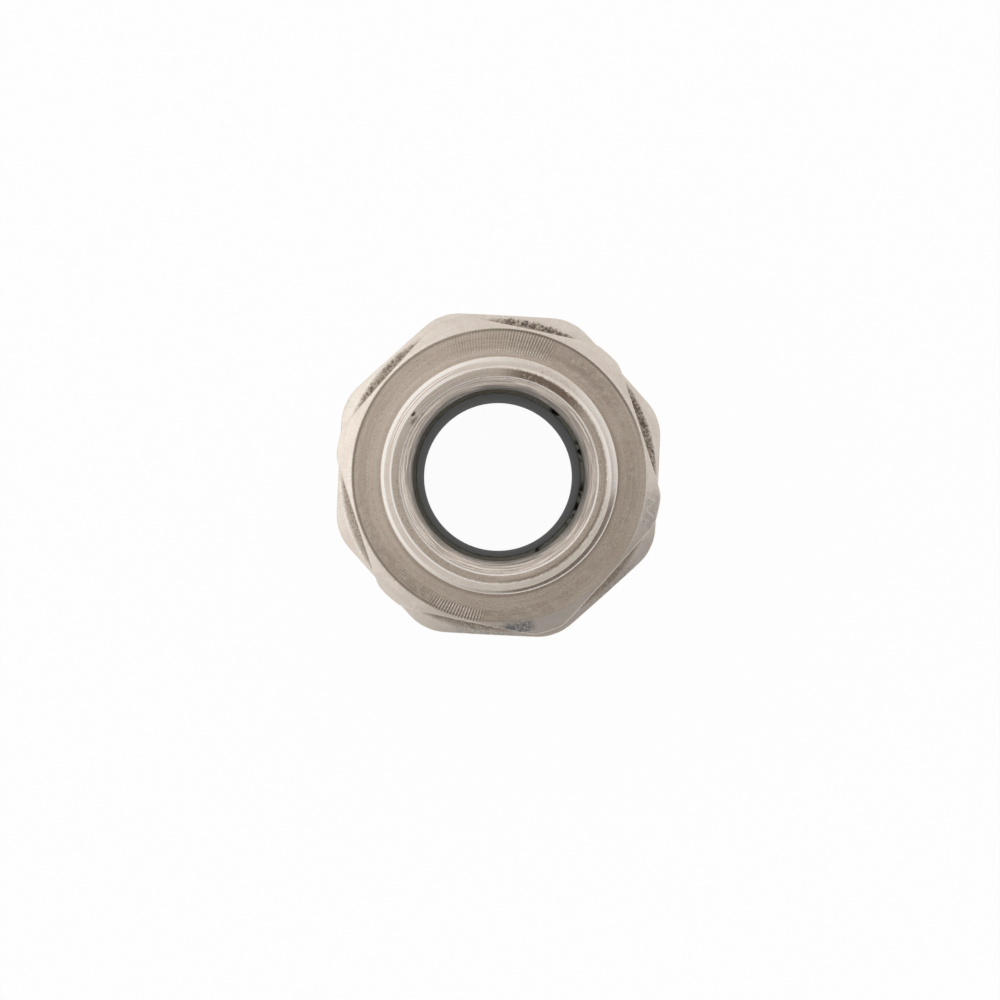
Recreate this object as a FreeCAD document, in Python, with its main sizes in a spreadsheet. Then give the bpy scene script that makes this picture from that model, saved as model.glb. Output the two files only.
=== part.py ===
import FreeCAD, Part
import os

import Sketcher

# A pipe union that joins a plastic pipe to a threaded fitting. It stands on the end of its plastic
# tailpiece, with the bore along +Z and the male pipe thread at the top. The origin is the middle of
# the tailpiece's lower end. All lengths are millimetres and all angles degrees.
SIZES = [
    # Male pipe thread of the body, as a plain cylinder at the crests
    ("male_thread_diameter", 26.44, "crests of the male pipe thread"),
    ("male_thread_depth", 1.16, "crest to root of the male pipe thread"),
    ("male_thread_length", 14.0, "hexagon face to the end of the thread"),
    ("mouth_chamfer", 1.3, "chamfer that starts the male thread"),
    ("male_runout", 0.8, "flat bottom of the groove between the thread and the hexagon"),
    # Bore of the body
    ("bore_wall", 1.26, "wall between the male thread's roots and the water way"),
    ("bore_chamfer", 0.2, "broken edge of the bore at the thread's end"),
    # Hexagon of the body
    ("hexagon_flat_rise", 0.875, "flats of the hexagon, outside the union thread's crests"),
    ("hexagon_corner_rise", 1.75, "turned-off corners of the hexagon, above its flats"),
    ("hexagon_corner_bevel", 2.0, "corner chamfers of the hexagon, across the radius"),
    ("hexagon_width", 9.5, "length of the hexagon along the bore"),
    ("hexagon_turn", 18.0, "angle of one flat from +X"),
    # Union thread between body and nut, as plain cylinders at the pitch line
    ("union_thread_diameter", 33.25, "crests of the body's union thread"),
    ("union_thread_depth", 1.48, "crest to root of the union thread"),
    ("union_thread_length", 9.5, "rear face of the body to the hexagon"),
    ("union_thread_chamfer", 1.5, "chamfer that starts the union thread"),
    ("union_runout", 0.8, "flat bottom of the groove between the union thread and the hexagon"),
    ("thread_clearance", 0.05, "radial running clearance of the union thread"),
    # Union nut
    ("nut_wall", 2.925, "flats of the octagon, outside the union thread's crests"),
    ("nut_corner_rise", 1.1, "turned-off corners of the octagon, above its flats"),
    ("nut_corner_bevel", 1.45, "front corner chamfers of the octagon, across the radius"),
    ("nut_rear_corner_bevel", 2.65, "rear corner chamfers of the octagon, across the radius"),
    ("nut_turn", 42.0, "angle of one flat from +X"),
    ("nut_gap", 1.0, "air between the tightened nut and the hexagon"),
    ("nut_mouth_chamfer", 1.0, "chamfer that starts the nut's thread"),
    ("lip_thickness", 3.0, "rear lip that pulls on the flange"),
    ("lip_edge", 0.5, "broken edges of the lip's hole"),
    ("corner_chamfer_angle", 30.0, "corner chamfers, from the flat faces"),
    # Flat gasket
    ("gasket_thickness", 2.0, "tightened gasket"),
    ("gasket_hole_diameter", 21.0, "hole of the gasket"),
    # Plastic tailpiece
    ("spigot_diameter", 25.0, "outside of the pipe spigot"),
    ("spigot_wall", 2.1, "wall of the spigot"),
    ("spigot_length", 20.0, "spigot below its stop shoulder"),
    ("spigot_chamfer_length", 1.8, "lead-in at the spigot's end, along the bore"),
    ("spigot_chamfer_depth", 0.6, "lead-in at the spigot's end, across the wall"),
    ("neck_step", 0.4, "stop shoulder of the spigot, across the wall"),
    ("neck_below_nut", 2.5, "neck that shows between the nut and the spigot"),
    ("flange_thickness", 3.5, "flange inside the nut"),
    ("flange_root", 0.3, "fillet, as a bevel, between flange and neck"),
    ("tail_bore_chamfer", 0.4, "broken lower edge of the tailpiece's bore"),
    ("loose_clearance", 0.3, "radial play of the tailpiece and the gasket in the nut"),
]

doc = FreeCAD.newDocument("pipe_union")
sheet = doc.addObject("Spreadsheet::Sheet", "sizes")
for row, (alias, number, meaning) in enumerate(SIZES, start=1):
    sheet.set(f"A{row}", meaning)
    sheet.set(f"B{row}", str(number))
    sheet.setAlias(f"B{row}", alias)
doc.recompute()


def size(alias):
    """Expression for one cell of the sheet."""
    return f"sizes.{alias}"


def radius(alias):
    """Expression for half of a diameter, or of another size, in the sheet."""
    return f"sizes.{alias} / 2"


def plus(*terms):
    """Expression for a sum of expressions."""
    return " + ".join(f"({term})" for term in terms)


def minus(first, *others):
    """Expression for the first expression less the others."""
    return " - ".join(f"({term})" for term in (first, *others))


def corner_depth(alias):
    """Expression for a corner chamfer's length along the bore, from its width across the radius."""
    return f"sizes.{alias} * tan(sizes.corner_chamfer_angle * 1deg)"


# Heights above the tailpiece's lower end, from the bottom up
SHOULDER = size("spigot_length")
LIP_BOTTOM = plus(SHOULDER, size("neck_below_nut"))
SEAT = plus(LIP_BOTTOM, size("lip_thickness"))
FLANGE_TOP = plus(SEAT, size("flange_thickness"))
GASKET_TOP = plus(FLANGE_TOP, size("gasket_thickness"))
HEXAGON_BOTTOM = plus(GASKET_TOP, size("union_thread_length"))
NUT_TOP = minus(HEXAGON_BOTTOM, size("nut_gap"))
HEXAGON_TOP = plus(HEXAGON_BOTTOM, size("hexagon_width"))
TOP = plus(HEXAGON_TOP, size("male_thread_length"))

# Radii that more than one piece or feature shares
MALE_CREST = radius("male_thread_diameter")
MALE_ROOT = minus(MALE_CREST, size("male_thread_depth"))
BORE = minus(MALE_ROOT, size("bore_wall"))
UNION_ROOT = minus(radius("union_thread_diameter"), size("union_thread_depth"))
UNION_PITCH = minus(radius("union_thread_diameter"), radius("union_thread_depth"))
FLANGE_RADIUS = minus(UNION_ROOT, size("loose_clearance"))
TAIL_BORE = minus(radius("spigot_diameter"), size("spigot_wall"))
NECK_RADIUS = plus(radius("spigot_diameter"), size("neck_step"))
HEXAGON_FLAT = plus(radius("union_thread_diameter"), size("hexagon_flat_rise"))
HEXAGON_BLANK = plus(HEXAGON_FLAT, size("hexagon_corner_rise"))
OCTAGON_FLAT = plus(radius("union_thread_diameter"), size("nut_wall"))
OCTAGON_BLANK = plus(OCTAGON_FLAT, size("nut_corner_rise"))

HEXAGON_SIDES = 6
OCTAGON_SIDES = 8
FULL_TURN = 360


def number_of(expression):
    """Present value of an expression, in millimetres."""
    found = sheet.evalExpression(expression)
    return float(getattr(found, "Value", found))


def new_body(name):
    """An empty body whose label names the piece."""
    body = doc.addObject("PartDesign::Body", name)
    body.Label = name
    return body


def origin_feature(body, role):
    """One of the body's own origin planes or axes."""
    return next(item for item in body.Origin.OriginFeatures if item.Role == role)


def corner_sketch(body, name, plane, corners):
    """A closed outline of straight lines, with each corner tied to the sheet by two distances."""
    sketch = body.newObject("Sketcher::SketchObject", name)
    sketch.AttachmentSupport = (origin_feature(body, plane), [""])
    sketch.MapMode = "FlatFace"
    points = [FreeCAD.Vector(number_of(across), number_of(along), 0) for across, along in corners]
    count = len(points)
    for index in range(count):
        sketch.addGeometry(Part.LineSegment(points[index], points[(index + 1) % count]), False)
    for index in range(count):
        sketch.addConstraint(Sketcher.Constraint("Coincident", index, 2, (index + 1) % count, 1))
    for index, expressions in enumerate(corners):
        for kind, expression in zip(("DistanceX", "DistanceY"), expressions):
            if expression == "0":
                axis = -2 if kind == "DistanceX" else -1
                sketch.addConstraint(Sketcher.Constraint("PointOnObject", index, 1, axis))
                continue
            start = Sketcher.Constraint(kind, -1, 1, index, 1, number_of(expression))
            where = sketch.addConstraint(start)
            sketch.setExpression(f"Constraints[{where}]", expression)
    return sketch


def turn(body, name, corners):
    """A solid of revolution about the bore from its half-section, given as radius and height."""
    sketch = corner_sketch(body, name + "_section", "XZ_Plane", corners)
    turned = body.newObject("PartDesign::Revolution", name)
    turned.Profile = sketch
    turned.ReferenceAxis = (sketch, ["V_Axis"])
    turned.Angle = FULL_TURN
    doc.recompute()
    return turned


def mill_flats(body, name, flat, blank, angle, count):
    """Cuts the flats of a spanner polygon on a turned blank, one pocket repeated round the bore."""
    corners = [
        (flat, f"-({blank})"),
        (plus(flat, blank), f"-({blank})"),
        (plus(flat, blank), blank),
        (flat, blank),
    ]
    sketch = corner_sketch(body, name + "_outline", "XY_Plane", corners)
    sketch.setExpression("AttachmentOffset.Rotation.Angle", size(angle))
    pocket = body.newObject("PartDesign::Pocket", name)
    pocket.Profile = sketch
    pocket.Type = "ThroughAll"
    pocket.Midplane = True
    pattern = body.newObject("PartDesign::PolarPattern", name + "_pattern")
    pattern.Originals = [pocket]
    pattern.Axis = (origin_feature(body, "Z_Axis"), [""])
    pattern.Angle = FULL_TURN
    pattern.Occurrences = count
    body.Tip = pattern
    doc.recompute()
    return pattern


def make_male_body():
    """The body: male pipe thread above, hexagon, and the union thread that the nut turns on."""
    body = new_body("male_body")
    groove_top = plus(HEXAGON_TOP, size("male_runout"))
    face = minus(HEXAGON_BLANK, size("hexagon_corner_bevel"))
    corner = corner_depth("hexagon_corner_bevel")
    groove_bottom = minus(HEXAGON_BOTTOM, size("union_runout"))
    union_top = minus(groove_bottom, minus(UNION_PITCH, UNION_ROOT))
    turn(body, "male_body_turned", [
        (plus(BORE, size("bore_chamfer")), TOP),
        (minus(MALE_CREST, size("mouth_chamfer")), TOP),
        (MALE_CREST, minus(TOP, size("mouth_chamfer"))),
        (MALE_CREST, plus(groove_top, size("male_thread_depth"))),
        (MALE_ROOT, groove_top),
        (MALE_ROOT, HEXAGON_TOP),
        (face, HEXAGON_TOP),
        (HEXAGON_BLANK, minus(HEXAGON_TOP, corner)),
        (HEXAGON_BLANK, plus(HEXAGON_BOTTOM, corner)),
        (face, HEXAGON_BOTTOM),
        (UNION_ROOT, HEXAGON_BOTTOM),
        (UNION_ROOT, groove_bottom),
        (UNION_PITCH, union_top),
        (UNION_PITCH, plus(GASKET_TOP, size("union_thread_chamfer"))),
        (minus(UNION_PITCH, size("union_thread_chamfer")), GASKET_TOP),
        (BORE, GASKET_TOP),
        (BORE, minus(TOP, size("bore_chamfer"))),
    ])
    mill_flats(body, "hexagon_flats", HEXAGON_FLAT, HEXAGON_BLANK, "hexagon_turn", HEXAGON_SIDES)
    return body


def make_union_nut():
    """The nut: octagon outside, thread at the top, and the lip that holds the flange below."""
    body = new_body("union_nut")
    thread = plus(UNION_PITCH, size("thread_clearance"))
    face = minus(OCTAGON_BLANK, size("nut_corner_bevel"))
    rear_face = minus(OCTAGON_BLANK, size("nut_rear_corner_bevel"))
    hole = plus(NECK_RADIUS, size("loose_clearance"))
    hole_edge = plus(hole, size("lip_edge"))
    turn(body, "union_nut_turned", [
        (plus(thread, size("nut_mouth_chamfer")), NUT_TOP),
        (face, NUT_TOP),
        (OCTAGON_BLANK, minus(NUT_TOP, corner_depth("nut_corner_bevel"))),
        (OCTAGON_BLANK, plus(LIP_BOTTOM, corner_depth("nut_rear_corner_bevel"))),
        (rear_face, LIP_BOTTOM),
        (hole_edge, LIP_BOTTOM),
        (hole, plus(LIP_BOTTOM, size("lip_edge"))),
        (hole, minus(SEAT, size("lip_edge"))),
        (hole_edge, SEAT),
        (UNION_ROOT, SEAT),
        (UNION_ROOT, GASKET_TOP),
        (thread, GASKET_TOP),
        (thread, minus(NUT_TOP, size("nut_mouth_chamfer"))),
    ])
    mill_flats(body, "octagon_flats", OCTAGON_FLAT, OCTAGON_BLANK, "nut_turn", OCTAGON_SIDES)
    return body


def make_flat_gasket():
    """The gasket: a flat ring that lies on the flange, under the body."""
    body = new_body("flat_gasket")
    hole = radius("gasket_hole_diameter")
    turn(body, "flat_gasket_ring", [
        (hole, FLANGE_TOP),
        (FLANGE_RADIUS, FLANGE_TOP),
        (FLANGE_RADIUS, GASKET_TOP),
        (hole, GASKET_TOP),
    ])
    return body


def make_plastic_tailpiece():
    """The tailpiece: a flange that the nut's lip lifts, and a spigot for a plastic pipe's socket."""
    body = new_body("plastic_tailpiece")
    spigot = radius("spigot_diameter")
    turn(body, "plastic_tailpiece_moulded", [
        (plus(TAIL_BORE, size("tail_bore_chamfer")), "0"),
        (minus(spigot, size("spigot_chamfer_depth")), "0"),
        (spigot, size("spigot_chamfer_length")),
        (spigot, SHOULDER),
        (NECK_RADIUS, plus(SHOULDER, size("neck_step"))),
        (NECK_RADIUS, minus(SEAT, size("flange_root"))),
        (plus(NECK_RADIUS, size("flange_root")), SEAT),
        (FLANGE_RADIUS, SEAT),
        (FLANGE_RADIUS, FLANGE_TOP),
        (TAIL_BORE, FLANGE_TOP),
        (TAIL_BORE, size("tail_bore_chamfer")),
    ])
    return body


pieces = [make_male_body(), make_union_nut(), make_flat_gasket(), make_plastic_tailpiece()]
doc.recompute()

for item in doc.Objects:
    if "Invalid" in item.State or "Error" in item.State:
        raise RuntimeError(f"{item.Label} failed: {item.State}")
for piece in pieces:
    if piece.Shape.isNull() or not piece.Shape.isValid():
        raise RuntimeError(f"{piece.Label} has no valid shape")

os.makedirs("parts", exist_ok=True)
for piece in pieces:
    piece.Shape.exportStep(os.path.join("parts", piece.Label + ".step"))
    box = piece.Shape.BoundBox
    print(f"{piece.Label}: {piece.Shape.Volume / 1000:.2f} cm3, {len(piece.Shape.Faces)} faces, "
          f"{box.XLength:.2f} x {box.YLength:.2f} mm, z {box.ZMin:.2f} to {box.ZMax:.2f}")
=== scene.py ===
import logging
import math
from bisect import bisect_left
from dataclasses import dataclass, field
from enum import Enum

import bmesh
import bpy
from mathutils import Matrix, Vector


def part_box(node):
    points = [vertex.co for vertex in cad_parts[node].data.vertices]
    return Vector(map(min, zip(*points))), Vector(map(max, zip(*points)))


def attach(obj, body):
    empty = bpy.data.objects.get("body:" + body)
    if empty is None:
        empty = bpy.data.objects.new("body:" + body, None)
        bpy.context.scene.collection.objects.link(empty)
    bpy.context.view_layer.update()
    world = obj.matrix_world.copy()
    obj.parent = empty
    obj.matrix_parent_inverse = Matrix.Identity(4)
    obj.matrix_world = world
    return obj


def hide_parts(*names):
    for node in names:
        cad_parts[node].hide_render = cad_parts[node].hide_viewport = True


# A pipe union, seen straight down its bore from the end with the male pipe thread: a nickel-plated
# brass body and octagonal nut, a flat rubber gasket and a dark grey plastic tailpiece.
# Lengths are in millimetres, heights are above the tailpiece's lower end, and directions round the
# bore are in degrees counter-clockwise from +X. A finished piece's mesh is scaled to metres.
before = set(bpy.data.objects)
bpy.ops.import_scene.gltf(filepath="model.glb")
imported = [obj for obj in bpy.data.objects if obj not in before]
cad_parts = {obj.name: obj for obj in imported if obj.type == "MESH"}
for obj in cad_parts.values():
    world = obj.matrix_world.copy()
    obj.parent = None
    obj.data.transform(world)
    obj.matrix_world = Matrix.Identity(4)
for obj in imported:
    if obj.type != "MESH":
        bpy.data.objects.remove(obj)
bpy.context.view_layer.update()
log = logging.getLogger("pipe_union")

MM = 0.001
STEPS = 360
WELD = 0.0004
TINY = 1e-6
FULL_TURN = 2 * math.pi
CORNER_SLOPE = math.tan(math.radians(30.0))
CROSSING = "crossing"

Pair = tuple[float, float]
Colour = tuple[float, float, float, float]
Tone = Colour | bpy.types.NodeSocket
Ring = tuple[list[bmesh.types.BMEdge], float]

WHITE = (1.0, 1.0, 1.0, 1.0)
BRIGHT = (0.93, 0.885, 0.83, 1.0)
GRIME = (0.20, 0.165, 0.135, 1.0)
BROWN = (0.25, 0.19, 0.155, 1.0)
DARK = (0.12, 0.10, 0.085, 1.0)
SLATE = (0.16, 0.165, 0.175, 1.0)
PIT = (0.035, 0.022, 0.015, 1.0)


class Slot(Enum):
    """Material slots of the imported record."""

    BODY = "body_nickel"
    NUT = "nut_nickel"
    GASKET = "gasket_rubber"
    TAIL = "tail_plastic"


class Side(Enum):
    """Which way a thread faces, as the sign that makes its crest the highest of its signed radii."""

    EXTERNAL = 1.0
    INTERNAL = -1.0


class Signal:
    """A shader value that turns Python arithmetic into Math nodes."""

    def __init__(self, graph: "Graph", socket: bpy.types.NodeSocket) -> None:
        """Wraps an output socket of a graph."""
        self.graph = graph
        self.socket = socket

    def _math(self, operation: str, *values: "Signal | float", clamp: bool = False) -> "Signal":
        """Adds one Math node with its inputs in order, and gives its result."""
        settings = {"operation": operation, "use_clamp": clamp}
        return self.graph.add("ShaderNodeMath", settings, dict(enumerate(values)))

    def __add__(self, other: "Signal | float") -> "Signal":
        """Sum."""
        return self._math("ADD", self, other)

    def __radd__(self, other: float) -> "Signal":
        """Sum with the number first."""
        return self._math("ADD", other, self)

    def __sub__(self, other: "Signal | float") -> "Signal":
        """Difference."""
        return self._math("SUBTRACT", self, other)

    def __rsub__(self, other: float) -> "Signal":
        """Difference with the number first."""
        return self._math("SUBTRACT", other, self)

    def __mul__(self, other: "Signal | float") -> "Signal":
        """Product."""
        return self._math("MULTIPLY", self, other)

    def __rmul__(self, other: float) -> "Signal":
        """Product with the number first."""
        return self._math("MULTIPLY", other, self)

    def __truediv__(self, other: "Signal | float") -> "Signal":
        """Quotient."""
        return self._math("DIVIDE", self, other)

    def through(self, operation: str, *others: "Signal | float") -> "Signal":
        """The result of another operation on this value and others."""
        return self._math(operation, self, *others)

    def held(self) -> "Signal":
        """The value held between 0 and 1."""
        return self._math("ADD", self, 0.0, clamp=True)

    def larger(self, other: "Signal | float") -> "Signal":
        """The larger of two values."""
        return self._math("MAXIMUM", self, other)

    def smaller(self, other: "Signal | float") -> "Signal":
        """The smaller of two values."""
        return self._math("MINIMUM", self, other)

    def ramp(self, low: float, high: float) -> "Signal":
        """A smooth step, from 0 at low to 1 at high. Low may be above high, for a falling step."""
        if low > high:
            return 1.0 - self.ramp(high, low)
        inputs = {"Value": self, "From Min": low, "From Max": high}
        return self.graph.add("ShaderNodeMapRange", {"interpolation_type": "SMOOTHSTEP"}, inputs)

    def band(self, low: float, high: float, soft: float) -> "Signal":
        """A band between two values, 1 inside and 0 outside, with edges as wide as soft."""
        half = soft / 2
        return self.ramp(low - half, low + half) * self.ramp(high + half, high - half)


class Graph:
    """A node tree that is filled by name, settings first."""

    def __init__(self, tree: bpy.types.NodeTree) -> None:
        """Empties the tree of a material or the world to start from."""
        self.tree = tree
        tree.nodes.clear()

    def node(self, kind: str, settings: dict | None = None, inputs: dict | None = None) -> bpy.types.Node:
        """Adds any node.

        Args:
            kind: The node's type.
            settings: Its properties, which are set first.
            inputs: Values or links of its sockets, by name or number.

        Returns:
            The new node.
        """
        made = self.tree.nodes.new(kind)
        for name, value in (settings or {}).items():
            setattr(made, name, value)
        for name, value in (inputs or {}).items():
            if isinstance(value, Signal):
                value = value.socket
            if isinstance(value, bpy.types.NodeSocket):
                self.tree.links.new(value, made.inputs[name])
            else:
                made.inputs[name].default_value = value
        return made

    def add(self, kind: str, settings: dict | None = None, inputs: dict | None = None) -> Signal:
        """Adds a node, as node does, and gives its first output as a signal."""
        return Signal(self, self.node(kind, settings, inputs).outputs[0])

    def blend(self, share: Signal | float, first: Tone, second: Tone) -> bpy.types.NodeSocket:
        """Mixes two colours, by the share of the second one."""
        settings = {"data_type": "RGBA", "clamp_factor": True}
        return self.node("ShaderNodeMix", settings, {0: share, 6: first, 7: second}).outputs[2]

    def noise(self, where: bpy.types.NodeSocket, scale: float, detail: float, rough: float) -> Signal:
        """Fractal noise about 0.5, from a vector, a frequency, octaves and how strong those are."""
        inputs = {"Vector": where, "Scale": scale, "Detail": detail, "Roughness": rough}
        return self.add("ShaderNodeTexNoise", {"noise_dimensions": "3D"}, inputs)

    def vector(self, x: Signal, y: Signal, z: Signal) -> bpy.types.NodeSocket:
        """A vector from three values."""
        return self.node("ShaderNodeCombineXYZ", None, {0: x, 1: y, 2: z}).outputs[0]

    def split(self, vector: bpy.types.NodeSocket) -> list[Signal]:
        """The three values of a vector."""
        parts = self.node("ShaderNodeSeparateXYZ", None, {0: vector})
        return [Signal(self, output) for output in parts.outputs]

    def close(self, kind: str, share: Signal, first: bpy.types.Node, second: bpy.types.Node) -> None:
        """Closes the graph with an output of that kind and two shaders, by the share of the second."""
        inputs = {0: share, 1: first.outputs[0], 2: second.outputs[0]}
        self.node(kind, None, {0: self.node("ShaderNodeMixShader", None, inputs).outputs[0]})


class RoundGraph(Graph):
    """A material's graph that knows where it is round the bore, from Object coordinates."""

    ring_slope = 0.77

    def __init__(self, name: str) -> None:
        """Starts a material of that name."""
        self.material = bpy.data.materials.new(name)
        self.material.use_nodes = True
        super().__init__(self.material.node_tree)
        place = self.node("ShaderNodeTexCoord").outputs["Object"]
        self.x, self.y, self.z = (part / MM for part in self.split(place))
        self.radius = (self.x * self.x + self.y * self.y).through("SQRT").larger(0.01)
        self.angle = self.y.through("ARCTAN2", self.x)
        self.cosine = self.x / self.radius
        self.sine = self.y / self.radius
        self.point = self.vector(self.x, self.y, self.z)

    def apothem(self, sides: int, turn: float) -> Signal:
        """Distance from the axis at right angles to the nearest side of a polygon with a side at turn."""
        half = math.pi / sides
        off = (self.angle - math.radians(turn)).through("WRAP", half, -half)
        return self.radius * off.through("COSINE")

    def sector(self, middle: float, half: float, soft: float) -> Signal:
        """A sector round the bore, 1 inside and 0 outside, with edges as wide as soft."""
        outer = math.cos(math.radians(half + soft / 2))
        inner = math.cos(math.radians(max(half - soft / 2, 0.0)))
        turn = math.radians(middle)
        return (self.cosine * math.cos(turn) + self.sine * math.sin(turn)).ramp(outer, inner)

    def rings(self, across: float, along: float, seed: float) -> bpy.types.NodeSocket:
        """A vector in which noise runs in rings, with its frequencies across and along them."""
        depth = (self.radius + self.z * self.ring_slope) * across + seed
        return self.vector(self.cosine * along, self.sine * along, depth)

    def bumps(self, height: Signal, depth: float) -> bpy.types.NodeSocket:
        """A bump that is depth high where the height is 1."""
        inputs = {"Strength": 1.0, "Distance": depth * MM, "Height": height}
        return self.node("ShaderNodeBump", None, inputs).outputs[0]

    def surface(self, **sockets: Signal | Tone | float) -> bpy.types.Material:
        """Closes the graph with one principled shader, whose sockets are named with _ for a space."""
        inputs = {name.replace("_", " "): value for name, value in sockets.items()}
        shader = self.node("ShaderNodeBsdfPrincipled", None, inputs)
        self.node("ShaderNodeOutputMaterial", None, {0: shader.outputs[0]})
        return self.material


@dataclass
class Look:
    """A plated surface while its features are laid on, one over the other."""

    graph: RoundGraph
    turned: Signal
    mottle: Signal
    colour: bpy.types.NodeSocket
    rough: Signal
    metallic: Signal
    height: Signal


ROUND = (0.0, 180.0)


@dataclass(frozen=True)
class Mark:
    """A grimy, bright or rough stretch of a ring, between two radii and two heights; some of the bright
    ones are painted highlights and some of the dark ones painted shade.

    Attributes:
        arc: The direction of its middle and half of its width, or ROUND for the whole ring.
        grain: Frequency of the noise that breaks it up, or 0 for none.
        share: How much of it that noise leaves.
        ragged: How far noise moves its edges, which are as wide as soft.
        matt: How much metallic shine it takes away.
    """

    radii: Pair
    heights: Pair
    arc: Pair
    colour: Colour
    strength: float
    soft: float = 0.12
    grain: float = 0.0
    share: float = 0.5
    ragged: float = 0.0
    matt: float = 0.0

    def mask(self, graph: RoundGraph) -> Signal:
        """The mark's strength at each place."""
        radius = graph.radius
        if self.ragged:
            radius = radius + (graph.noise(graph.point, 3.2, 3.0, 0.7) - 0.5) * self.ragged
        found = radius.band(*self.radii, self.soft) * self.strength
        found = found * graph.z.band(*self.heights, self.soft)
        if self.arc != ROUND:
            middle, half = self.arc
            found = found * graph.sector(middle, half, half)
        if self.grain:
            edge = 0.5 + (0.5 - self.share) * 0.3
            noise = graph.noise(graph.point, self.grain, 4.0, 0.7)
            found = found * noise.ramp(edge - 0.10, edge + 0.10)
        return found

    def apply(self, look: Look) -> None:
        """Lays the mark on a surface."""
        mask = self.mask(look.graph)
        look.colour = look.graph.blend(mask, look.colour, self.colour)
        if self.matt:
            look.metallic = look.metallic - mask * self.matt


@dataclass(frozen=True)
class Chatter:
    """A fan of fine radial lines that a chattering tool left on a turned face."""

    radii: Pair
    arc: Pair
    depth: float
    lines: int = 300
    lean: float = 2.4
    shade: float = 0.90
    soft: float = 0.6

    def apply(self, look: Look) -> None:
        """Cuts the lines, which the tool's rings break up, into a surface."""
        graph = look.graph
        middle, half = self.arc
        wave = (graph.angle * self.lines + graph.radius * self.lean).through("SINE")
        broken = look.turned * 0.9 + 0.3
        place = graph.radius.band(*self.radii, self.soft)
        wave = wave * broken * place * graph.sector(middle, half, half) * self.depth
        look.height = look.height + wave
        look.colour = graph.blend((wave * self.shade).held(), look.colour, GRIME)


@dataclass(frozen=True)
class GrooveGrimeAndShade:
    """Grime and painted shade in the grooves of a thread, with a deep painted shadow where its first groove
    runs out of the mouth on the lower right.
    """

    crest: float
    mouth_radius: float
    mouth: float
    relief: float
    reach: float = 1.6
    roots: float = 0.45
    start: float = 0.85
    start_arc: Pair = (311.0, 38.0)
    start_soft: float = 18.0
    start_drops: Pair = (2.8, 2.1)

    def apply(self, look: Look) -> None:
        """Darkens the grooves, which lie below the blank's cylinder and mouth cone, with painted shade and
        some grime.
        """
        graph = look.graph
        cone = self.mouth_radius + self.mouth - graph.z - graph.radius
        depth = cone.smaller(self.crest - graph.radius)
        low, high = (self.mouth - drop for drop in self.start_drops)
        # Painted shadow, the darkest part, inside the first groove over the arc where it runs out of the
        # mouth.
        first = graph.sector(*self.start_arc, self.start_soft) * graph.z.ramp(low, high)
        first_groove_shadow = depth.ramp(0.07, 0.20) * first * self.start
        # Painted shade, with some grime, deepening towards the roots of every groove.
        found = first_groove_shadow.larger(depth.ramp(0.10, 0.90) * self.roots)
        bottom = self.crest - self.reach
        outside = graph.radius.ramp(bottom - 0.1, bottom + 0.1)
        found = found * graph.z.band(self.relief, self.mouth + 1.0, 0.4) * outside
        darkening = found * (look.mottle * 0.3 + 0.7)
        look.colour = graph.blend(darkening, look.colour, BROWN)
        look.rough = look.rough + darkening * 0.25


@dataclass(frozen=True)
class WornShadedBore:
    """A bore that is smooth and bright near its mouth, streaked with brown, dull below, and darkened
    towards its deep end by painted shade.

    Drops are how far below the mouth a change starts and ends.
    """

    radius: float
    mouth: float
    colour: Colour = (0.78, 0.67, 0.57, 1.0)
    deep_shade_colour: Colour = (0.22, 0.225, 0.195, 1.0)
    shine: float = 0.04
    seed: float = 3.0
    brown_arc: Pair = (65.0, 95.0)
    brown_soft: float = 60.0
    dull_drops: Pair = (6.0, 30.0)
    shade_drops: Pair = (15.0, 31.0)

    def apply(self, look: Look) -> None:
        """Ages a surface where it is inside the bore, and paints shade into its deep part."""
        graph = look.graph
        inside = graph.radius.ramp(self.radius + 0.09, self.radius + 0.02)
        dull_depth, shade_depth = (
            graph.z.ramp(self.mouth - drops[0], self.mouth - drops[1])
            for drops in (self.dull_drops, self.shade_drops)
        )
        brown = graph.sector(*self.brown_arc, self.brown_soft)
        streaks = graph.noise(graph.rings(0.5, 2.6, self.seed), 1.0, 3.0, 0.65).ramp(0.36, 0.64)
        aged = look.mottle * 0.20 + streaks * 0.32 + brown * 0.16
        worn = graph.blend(aged, self.colour, BROWN)
        # Painted shade: the colour darkens towards the deep end of the bore, where little light reaches.
        worn = graph.blend(shade_depth * 0.92, worn, self.deep_shade_colour)
        dull = dull_depth * 0.90 + brown * 0.30 + (streaks - 0.5) * 0.80
        look.colour = graph.blend(inside, look.colour, worn)
        look.rough = look.rough + inside * (dull * 0.18 - self.shine)
        look.metallic = look.metallic - inside * (dull * 0.42).held()


Feature = Mark | Chatter | GrooveGrimeAndShade | WornShadedBore


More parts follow.
